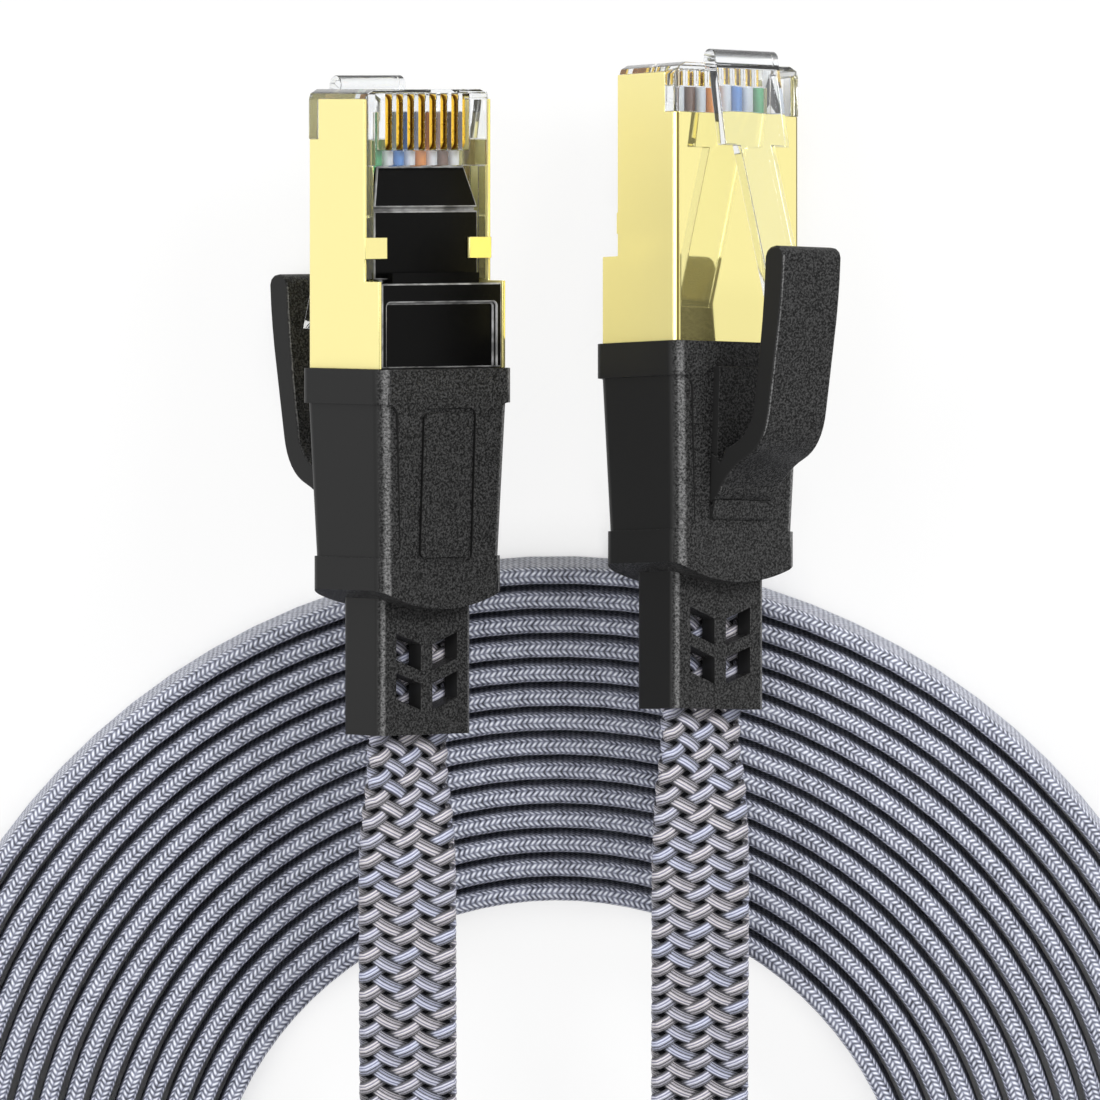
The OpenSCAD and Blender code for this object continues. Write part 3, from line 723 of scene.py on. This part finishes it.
class MakeCord(bpy.types.Operator):
    """Makes the flat cord from boot to boot, through the coil."""

    bl_idname = "patch_cable.make_cord"
    bl_label = "Cord"

    def execute(self, context):
        settings = context.scene.patch_cord
        route, coil_from, coil_to = whole_route()
        framed_route = framed(route)
        core_width, core_thickness = 6.1 * MM, 0.3 * MM
        fade = 8
        shape = bmesh.new()
        sleeve = shape.loops.layers.uv.new("Sleeve")
        rings = []
        along = 0
        for i, (place, across, out) in enumerate(framed_route):
            if i:
                along += (place - framed_route[i - 1][0]).length
            inside = min(i - coil_from, coil_to - i)
            full = max(0, min(1, inside / fade + 1))
            width = core_width + (settings.width - core_width) * full
            thickness = core_thickness + (settings.thickness - core_thickness) * full
            outline = section_points(width, thickness)
            rings.append((along, [shape.verts.new(place + across * a + out * b)
                                  for a, b in outline]))
        outline = section_points(settings.width, settings.thickness)
        count = len(outline)
        around = [0]
        for k in range(count):
            a, b = outline[k], outline[(k + 1) % count]
            around.append(around[-1] + math.dist(a, b))
        for i, ((v0, ring0), (v1, ring1)) in enumerate(zip(rings, rings[1:])):
            bare = coil_from - fade <= i < coil_to + fade
            for k in range(count):
                face = shape.faces.new(
                    (ring0[k], ring1[k], ring1[(k + 1) % count], ring0[(k + 1) % count]))
                face.smooth = True
                face.material_index = 0 if bare else 1
                for loop, (u, v) in zip(face.loops, (
                        (around[k], v0), (around[k], v1),
                        (around[k + 1], v1), (around[k + 1], v0))):
                    loop[sleeve].uv = (u / MM, v / MM)
        for ring in (rings[0][1], rings[-1][1]):
            shape.faces.new(ring)
        bmesh.ops.recalc_face_normals(shape, faces=shape.faces)
        mesh = bpy.data.meshes.new("flat_cord")
        shape.to_mesh(mesh)
        shape.free()
        cord = finished("flat_cord", mesh, [braid_sleeve(), filler_yarn()], "cable",
                        ("lead_a", "coil", "lead_b"))
        return {"FINISHED"}


# ---------------------------------------------------------------- braid over the leads

BRAID_WIDTH = 6.68 * MM
BRAID_THICKNESS = 0.64 * MM
RINGS_PER_PITCH = 13


def braid_tree():
    """Geometry nodes: yarn bundles wind both ways round a flat cord, over one and under one."""
    tree = bpy.data.node_groups.new("Flat Braid", "GeometryNodeTree")
    face = tree.interface
    face.new_socket("Geometry", in_out="OUTPUT", socket_type="NodeSocketGeometry")
    face.new_socket("Route", in_out="INPUT", socket_type="NodeSocketGeometry")
    for name, kind in (
            ("Bundles", "NodeSocketInt"), ("Rings", "NodeSocketInt"),
            ("Pitch", "NodeSocketFloat"), ("Width", "NodeSocketFloat"),
            ("Thickness", "NodeSocketFloat"), ("Bundle Width", "NodeSocketFloat"),
            ("Bundle Thickness", "NodeSocketFloat"), ("Lift", "NodeSocketFloat"),
            ("Start", "NodeSocketFloat"), ("Step", "NodeSocketFloat"),
            ("Material", "NodeSocketMaterial")):
        face.new_socket(name, in_out="INPUT", socket_type=kind)
    given = add(tree, "NodeGroupInput")
    half = calc(tree, "DIVIDE", (given, "Bundles"), 2)
    flat = calc(tree, "SUBTRACT", (given, "Width"), (given, "Thickness"))
    radius = calc(tree, "DIVIDE", (given, "Thickness"), 2)
    arc = calc(tree, "MULTIPLY", radius, math.pi)
    half_round = calc(tree, "ADD", flat, arc)
    around = calc(tree, "MULTIPLY", half_round, 2)
    column = calc(tree, "DIVIDE", around, half)
    slope = calc(tree, "DIVIDE", column, (given, "Pitch"))
    line = add(tree, "GeometryNodeMeshLine", None,
               {"Count": (given, "Rings"), "Offset": (MM, 0, 0)})
    spline = add(tree, "GeometryNodeMeshToCurve", None, {"Mesh": line})
    many = add(tree, "GeometryNodeDuplicateElements", {"domain": "SPLINE"},
               {"Geometry": spline, "Amount": (given, "Bundles")})
    place = add(tree, "GeometryNodeSplineParameter")
    along = calc(tree, "MULTIPLY_ADD", (place, "Index"), (given, "Step"), (given, "Start"))
    group = calc(tree, "DIVIDE", (many, "Duplicate Index"), half)
    which = calc(tree, "FLOOR", group)
    sign = calc(tree, "MULTIPLY_ADD", which, -2, 1)
    number = calc(tree, "MODULO", (many, "Duplicate Index"), half)
    middle = calc(tree, "DIVIDE", flat, 2)
    drawn = calc(tree, "MULTIPLY", slope, along)
    signed = calc(tree, "MULTIPLY_ADD", drawn, sign, middle)
    raw = calc(tree, "MULTIPLY_ADD", number, column, signed)
    round_it = calc(tree, "FLOORED_MODULO", raw, around)
    front = add(tree, "ShaderNodeClamp", None, {"Value": round_it, "Max": flat})
    past_half = calc(tree, "SUBTRACT", round_it, half_round)
    behind = add(tree, "ShaderNodeClamp", None, {"Value": past_half, "Max": flat})
    gone = calc(tree, "SUBTRACT", front, behind)
    offset = calc(tree, "SUBTRACT", gone, middle)
    past_flat = calc(tree, "SUBTRACT", round_it, flat)
    first_arc = add(tree, "ShaderNodeClamp", None, {"Value": past_flat, "Max": arc})
    past_back = calc(tree, "SUBTRACT", past_half, flat)
    second_arc = add(tree, "ShaderNodeClamp", None, {"Value": past_back, "Max": arc})
    arcs = calc(tree, "ADD", first_arc, second_arc)
    angle = calc(tree, "DIVIDE", arcs, radius)
    sine = calc(tree, "SINE", angle)
    cosine = calc(tree, "COSINE", angle)
    off_middle = calc(tree, "SUBTRACT", round_it, middle)
    in_columns = calc(tree, "DIVIDE", off_middle, column)
    wave_angle = calc(tree, "MULTIPLY", in_columns, math.tau)
    wave = calc(tree, "COSINE", wave_angle)
    steep = calc(tree, "MULTIPLY", wave, -1.15)
    level = add(tree, "ShaderNodeClamp", None, {"Value": steep, "Min": -1.0, "Max": 1.0})
    over = calc(tree, "MULTIPLY", level, sign)
    reach = calc(tree, "MULTIPLY_ADD", over, (given, "Lift"), radius)
    side_reach = calc(tree, "MULTIPLY_ADD", reach, sine, offset)
    out_reach = calc(tree, "MULTIPLY", reach, cosine)
    rail = add(tree, "GeometryNodeMeshToCurve", None, {"Mesh": (given, "Route")})
    across = add(tree, "GeometryNodeInputNamedAttribute", {"data_type": "FLOAT_VECTOR"},
                 {"Name": "across"})
    out = add(tree, "GeometryNodeInputNamedAttribute", {"data_type": "FLOAT_VECTOR"},
              {"Name": "out"})
    sample = {"mode": "LENGTH", "data_type": "FLOAT_VECTOR"}
    on_across = add(tree, "GeometryNodeSampleCurve", sample,
                    {"Curves": rail, "Value": across, "Length": along})
    on_out = add(tree, "GeometryNodeSampleCurve", sample,
                 {"Curves": rail, "Value": out, "Length": along})
    vector = "ShaderNodeVectorMath"
    moved_side = add(tree, vector, {"operation": "SCALE"},
                     {0: (on_across, "Value"), "Scale": side_reach})
    moved_out = add(tree, vector, {"operation": "SCALE"},
                    {0: (on_out, "Value"), "Scale": out_reach})
    moved = add(tree, vector, {"operation": "ADD"}, {0: moved_side, 1: moved_out})
    final = add(tree, vector, {"operation": "ADD"}, {0: (on_across, "Position"), 1: moved})
    normal_side = add(tree, vector, {"operation": "SCALE"},
                      {0: (on_across, "Value"), "Scale": sine})
    normal_out = add(tree, vector, {"operation": "SCALE"},
                     {0: (on_out, "Value"), "Scale": cosine})
    normal = add(tree, vector, {"operation": "ADD"}, {0: normal_side, 1: normal_out})
    set_place = add(tree, "GeometryNodeSetPosition", None,
                    {"Geometry": many, "Position": final})
    set_normal = add(tree, "GeometryNodeSetCurveNormal", {"mode": "FREE"},
                     {"Curve": set_place, "Normal": normal})
    chance = add(tree, "FunctionNodeRandomValue", {"data_type": "FLOAT"},
                 {"ID": (many, "Duplicate Index"), "Seed": 7})
    tinted = stored(tree, set_normal, "tint", (chance, "Value"))
    raised = stored(tree, tinted, "rise", over)
    ring = add(tree, "GeometryNodeCurvePrimitiveCircle", {"mode": "RADIUS"},
               {"Resolution": 8, "Radius": 0.5})
    size = add(tree, "ShaderNodeCombineXYZ", None,
               {"X": (given, "Bundle Thickness"), "Y": (given, "Bundle Width"), "Z": 1.0})
    oval = add(tree, "GeometryNodeTransform", None, {"Geometry": ring, "Scale": size})
    ring_place = add(tree, "GeometryNodeSplineParameter")
    marked = stored(tree, oval, "ply", (ring_place, "Factor"))
    tubes = add(tree, "GeometryNodeCurveToMesh", None,
                {"Curve": raised, "Profile Curve": marked, "Fill Caps": True})
    smooth_tubes = add(tree, "GeometryNodeSetShadeSmooth", None, {"Geometry": tubes})
    real = add(tree, "GeometryNodeRealizeInstances", None, {"Geometry": smooth_tubes})
    coloured = add(tree, "GeometryNodeSetMaterial", None,
                   {"Geometry": real, "Material": (given, "Material")})
    add(tree, "NodeGroupOutput", None, {"Geometry": coloured})
    return tree


def rail_mesh(name, run):
    """A line along a run, with the cord's across and out directions at its points."""
    rail = framed(run)
    mesh = bpy.data.meshes.new(name)
    mesh.from_pydata([p for p, _, _ in rail], [(i, i + 1) for i in range(len(rail) - 1)], [])
    across = mesh.attributes.new("across", "FLOAT_VECTOR", "POINT")
    out = mesh.attributes.new("out", "FLOAT_VECTOR", "POINT")
    for i, (_, a, o) in enumerate(rail):
        across.data[i].vector = a
        out.data[i].vector = o
    return mesh


class MakeBraids(bpy.types.Operator):
    """Plaits the yarn bundles over the two leads."""

    bl_idname = "patch_cable.make_braids"
    bl_label = "Braid over the leads"

    def execute(self, context):
        settings = context.scene.patch_cord
        tree = braid_tree()
        yarn = braid_yarn()
        step = settings.braid_pitch / RINGS_PER_PITCH
        for key, stretches in (("a", ((0, 0.4), (0.4, 0.7), (0.7, 1))), ("b", ((0, 1),))):
            run = smooth(lead_knots(key), BRAID_STEP)
            length = sum((q[0] - p[0]).length for p, q in zip(run, run[1:]))
            for number, (first, last) in enumerate(stretches):
                holder = bpy.data.objects.new("rail", rail_mesh("rail", run))
                context.scene.collection.objects.link(holder)
                modifier = holder.modifiers.new("Braid", "NODES")
                modifier.node_group = tree
                sockets = {s.name: s.identifier for s in tree.interface.items_tree
                           if s.in_out == "INPUT"}
                values = {
                    "Bundles": settings.strands,
                    "Rings": round(length * (last - first) / step),
                    "Pitch": settings.braid_pitch,
                    "Width": BRAID_WIDTH,
                    "Thickness": BRAID_THICKNESS,
                    "Bundle Width": settings.bundle_width,
                    "Bundle Thickness": settings.bundle_thickness,
                    "Lift": settings.bundle_lift,
                    "Start": length * first,
                    "Step": step,
                    "Material": yarn,
                }
                for name, value in values.items():
                    modifier[sockets[name]] = value
                mesh = plain_copy(holder, f"lead_{key}_braid_{number + 1}")
                bpy.data.objects.remove(holder)
                if not len(mesh.polygons):
                    raise RuntimeError("the braid tree gave no faces")
                finished(mesh.name, mesh, [], "cable")
        return {"FINISHED"}


# ---------------------------------------------------------------- plugs

class MakeMouldings(bpy.types.Operator):
    """Rounds and finishes the boots and levers."""

    bl_idname = "patch_cable.make_mouldings"
    bl_label = "Boots and levers"

    def execute(self, context):
        edge = context.scene.patch_plug.edge
        black = moulded_black()
        for key in "ab":
            for part, body, slot, size in (
                    ("boot", "cable", "boot_black", edge),
                    ("lever", f"{key}_lever", "lever_black", 1.6 * edge)):
                node = f"{key}_{part}"
                mesh = rounded_copy(
                    node, node + "_moulding", size, [black], roomy=part == "boot")
                finished(node + "_moulding", mesh, [], body, (node,))
        return {"FINISHED"}


class MakeShields(bpy.types.Operator):
    """Finishes the gold-plated shields and contacts."""

    bl_idname = "patch_cable.make_shields"
    bl_label = "Shields and contacts"

    def execute(self, context):
        plate, contact = gold_plate(), gold_contact()
        for key in "ab":
            for part, slot, material in (
                    ("shield", "shield_gold", plate), ("contacts", "contact_gold", contact)):
                node = f"{key}_{part}"
                mesh = rounded_copy(node, node + "_plated", PLATE_EDGE, [material], 2)
                finished(node + "_plated", mesh, [], "cable", (node,))
        return {"FINISHED"}


class MakeClearParts(bpy.types.Operator):
    """Finishes the clear housings, latches and load bars."""

    bl_idname = "patch_cable.make_clear_parts"
    bl_label = "Clear parts"

    def execute(self, context):
        clear = clear_polycarbonate()
        for key in "ab":
            for part, body in (("housing", "cable"), ("latch", f"{key}_latch")):
                node = f"{key}_{part}"
                mesh = rounded_copy(
                    node, node + "_clear", CLEAR_EDGE, [clear], 2, clamp=part == "latch")
                finished(node + "_clear", mesh, [], body, (node,))
            bar = frame["nodes"][f"{key}_load_bar"]
            bar.data.materials.clear()
            bar.data.materials.append(clear)
        return {"FINISHED"}


# Painted shade: a black sheet under the opening between the strain bar and the rear cover.
SHADE_SHEET_HALF_WIDTH = 4 * MM
SHADE_SHEET_LAP = 0.5 * MM
SHADE_SHEET_DEPTHS = (1.3 * MM, 0.7 * MM)


def add_shade_sheet(mesh, plug, half_width, along, out):
    """Adds a thin box to a mesh, across a plug, between two lengths and two heights: a dark sheet standing in for
    shade.
    """
    shade_sheet = bmesh.new()
    shade_sheet.from_mesh(mesh)
    box = bmesh.ops.create_cube(shade_sheet, size=1)["verts"]
    for vert in box:
        u, y, v = vert.co
        vert.co = plug.at(2 * half_width * u, along[0] + (along[1] - along[0]) * (y + 0.5),
                          out[0] + (out[1] - out[0]) * (v + 0.5))
    bmesh.ops.recalc_face_normals(shade_sheet, faces=shade_sheet.faces)
    shade_sheet.to_mesh(mesh)
    shade_sheet.free()


class MakeInserts(bpy.types.Operator):
    """Finishes the black inserts on the contact side."""

    bl_idname = "patch_cable.make_inserts"
    bl_label = "Black inserts"

    def execute(self, context):
        # The second material paints a highlight on the inserts' rounded edges.
        black, pale = satin_black(), nylon_edge_highlight()
        for key in "ab":
            plug = PLUGS[key]
            ends = {}
            for part in ("strain_bar", "rear_cover"):
                node = f"{key}_{part}"
                mesh = rounded_copy(node, node + "_insert", INSERT_EDGE, [black, pale])
                ends[part] = [(v.co - plug.origin).dot(plug.y) for v in mesh.vertices]
                if part == "rear_cover":
                    top = max((v.co - plug.origin).dot(plug.v) for v in mesh.vertices)
                    back, front = min(ends["strain_bar"]), max(ends["rear_cover"])
                    # Painted shade: a black sheet fills the opening between the strain bar and the rear cover.
                    add_shade_sheet(mesh, plug, SHADE_SHEET_HALF_WIDTH, (front - SHADE_SHEET_LAP, back + SHADE_SHEET_LAP),
                            [top - depth for depth in SHADE_SHEET_DEPTHS])
                finished(node + "_insert", mesh, [], "cable", (node,))
        return {"FINISHED"}


class MakeWires(bpy.types.Operator):
    """Finishes the eight wires, the foil-wrapped pairs and the crimp ring."""

    bl_idname = "patch_cable.make_wires"
    bl_label = "Wires"

    def execute(self, context):
        white = insulation("White Polyethylene", "#E4E6EA")
        pairs = {"green": "#1F9A55", "blue": "#3F86D2", "orange": "#E88A1E", "brown": "#6B4A36"}
        foil = foil_metal("Wrapped Foil", "#C9CBCF", 0.3)
        tin = foil_metal("Tinned Steel", "#B4B4B6", 0.4)
        for name, code in pairs.items():
            tinted = insulation(f"{name.title()} Polyethylene", code)
            for key in "ab":
                node = f"{key}_{name}_pair"
                mesh = rounded_copy(node, node + "_wires", WIRE_EDGE, [tinted], 1)
                finished(node + "_wires", mesh, [white], "cable", (node,))
                plug = PLUGS[key]
                places = [(polygon.center - plug.origin).dot(plug.u)
                          for polygon in mesh.polygons]
                middle = (min(places) + max(places)) / 2
                for polygon, place in zip(mesh.polygons, places):
                    polygon.material_index = 1 if place > middle else 0
                mesh.update()
        for key in "ab":
            for part, material in (("foil_pairs", foil), ("crimp_ring", tin)):
                data = frame["nodes"][f"{key}_{part}"].data
                data.materials.clear()
                data.materials.append(material)
        return {"FINISHED"}


# ---------------------------------------------------------------- stage

def area_lamp(name, place, aim, size, power):
    """A soft lamp of (width, height) at place that faces aim."""
    lamp = bpy.data.lights.new(name, "AREA")
    lamp.shape = "RECTANGLE"
    lamp.size, lamp.size_y = size
    lamp.energy = power
    holder = bpy.data.objects.new(name, lamp)
    holder.location = place
    holder.rotation_euler = (Vector(aim) - Vector(place)).to_track_quat("-Z", "Y").to_euler()
    bpy.context.scene.collection.objects.link(holder)


class MakeStage(bpy.types.Operator):
    """Makes the pale floor, the lamps and the surroundings."""

    bl_idname = "patch_cable.make_stage"
    bl_label = "Stage"

    def execute(self, context):
        stage = context.scene.patch_stage
        reach = 6.0
        mesh = bpy.data.meshes.new("floor")
        mesh.from_pydata(
            [(-reach, -reach, 0), (reach, -reach, 0), (reach, reach, 0), (-reach, reach, 0)],
            [], [(0, 1, 2, 3)])
        floor = bpy.data.objects.new("floor", mesh)
        context.scene.collection.objects.link(floor)
        material = bpy.data.materials.new("White Sweep Paper")
        material.use_nodes = True
        tree = material.node_tree
        tree.nodes.clear()
        paper = add(tree, "ShaderNodeBsdfDiffuse", None, {"Color": (*stage.floor, 1)})
        glow = add(tree, "ShaderNodeEmission", None, {"Color": (*stage.floor, 1)})
        path = add(tree, "ShaderNodeLightPath")
        nook = add(tree, "ShaderNodeAmbientOcclusion", {"samples": 8}, {"Distance": 9 * MM})
        open_floor = stepped(tree, (nook, "AO"), 0.25, 0.62)
        seen = calc(tree, "MAXIMUM", (path, "Is Camera Ray"), (path, "Is Glossy Ray"))
        through = calc(tree, "MAXIMUM", seen, (path, "Is Transmission Ray"))
        lit = calc(tree, "MULTIPLY", through, open_floor)
        share = calc(tree, "MULTIPLY", lit, 0.88)
        mixed = add(tree, "ShaderNodeMixShader", None, {0: share, 1: paper, 2: glow})
        add(tree, "ShaderNodeOutputMaterial", None, {"Surface": mixed})
        mesh.materials.append(material)

        world = bpy.data.worlds.new("Studio")
        context.scene.world = world
        world.use_nodes = True
        tree = world.node_tree
        tree.nodes.clear()
        path = add(tree, "ShaderNodeLightPath")
        seen = calc(tree, "MAXIMUM", (path, "Is Camera Ray"), (path, "Is Transmission Ray"))
        shown = calc(tree, "MAXIMUM", seen, (path, "Is Glossy Ray"))
        strength = spread(tree, shown, 0.42, 1.0)
        sky = add(tree, "ShaderNodeBackground", None,
                  {"Color": (1, 1, 1, 1), "Strength": strength})
        add(tree, "ShaderNodeOutputWorld", None, {"Surface": sky})

        aim = (0, -0.02, 0)
        area_lamp("Key", (0.5, 0.38, 0.5), aim, (0.24, 0.24), 3.4)
        area_lamp("Fill", (-0.55, 0.15, 0.55), aim, (0.4, 0.4), 2.3)
        area_lamp("Top", (-0.12, 0.1, 1.08), aim, (0.25, 0.8), 2.4)
        return {"FINISHED"}


# ---------------------------------------------------------------- panel and run

STEPS = (
    "make_camera", "make_cord", "make_braids", "make_mouldings", "make_shields",
    "make_clear_parts", "make_inserts", "make_wires", "make_stage",
)


class PatchCablePanel(bpy.types.Panel):
    """Lists the cable's pieces and their sizes."""

    bl_idname = "VIEW3D_PT_patch_cable"
    bl_label = "Patch Cable"
    bl_space_type = "VIEW_3D"
    bl_region_type = "UI"
    bl_category = "Patch Cable"

    def draw(self, context):
        for group in (context.scene.patch_cord, context.scene.patch_plug,
                      context.scene.patch_stage):
            for name in group.__annotations__:
                self.layout.prop(group, name)
        for name in STEPS:
            self.layout.operator("patch_cable." + name)


CLASSES = (
    CordSettings, PlugSettings, StageSettings, MakeCamera, MakeCord, MakeBraids,
    MakeMouldings, MakeShields, MakeClearParts, MakeInserts, MakeWires, MakeStage,
    PatchCablePanel,
)


def register():
    for cls in CLASSES:
        bpy.utils.register_class(cls)
    bpy.types.Scene.patch_cord = PointerProperty(type=CordSettings)
    bpy.types.Scene.patch_plug = PointerProperty(type=PlugSettings)
    bpy.types.Scene.patch_stage = PointerProperty(type=StageSettings)


def unregister():
    for name in ("patch_cord", "patch_plug", "patch_stage"):
        delattr(bpy.types.Scene, name)
    for cls in reversed(CLASSES):
        bpy.utils.unregister_class(cls)


def main():
    """Makes every piece in order."""
    register()
    for name in STEPS:
        getattr(bpy.ops.patch_cable, name)()


if __name__ == "__main__":
    main()
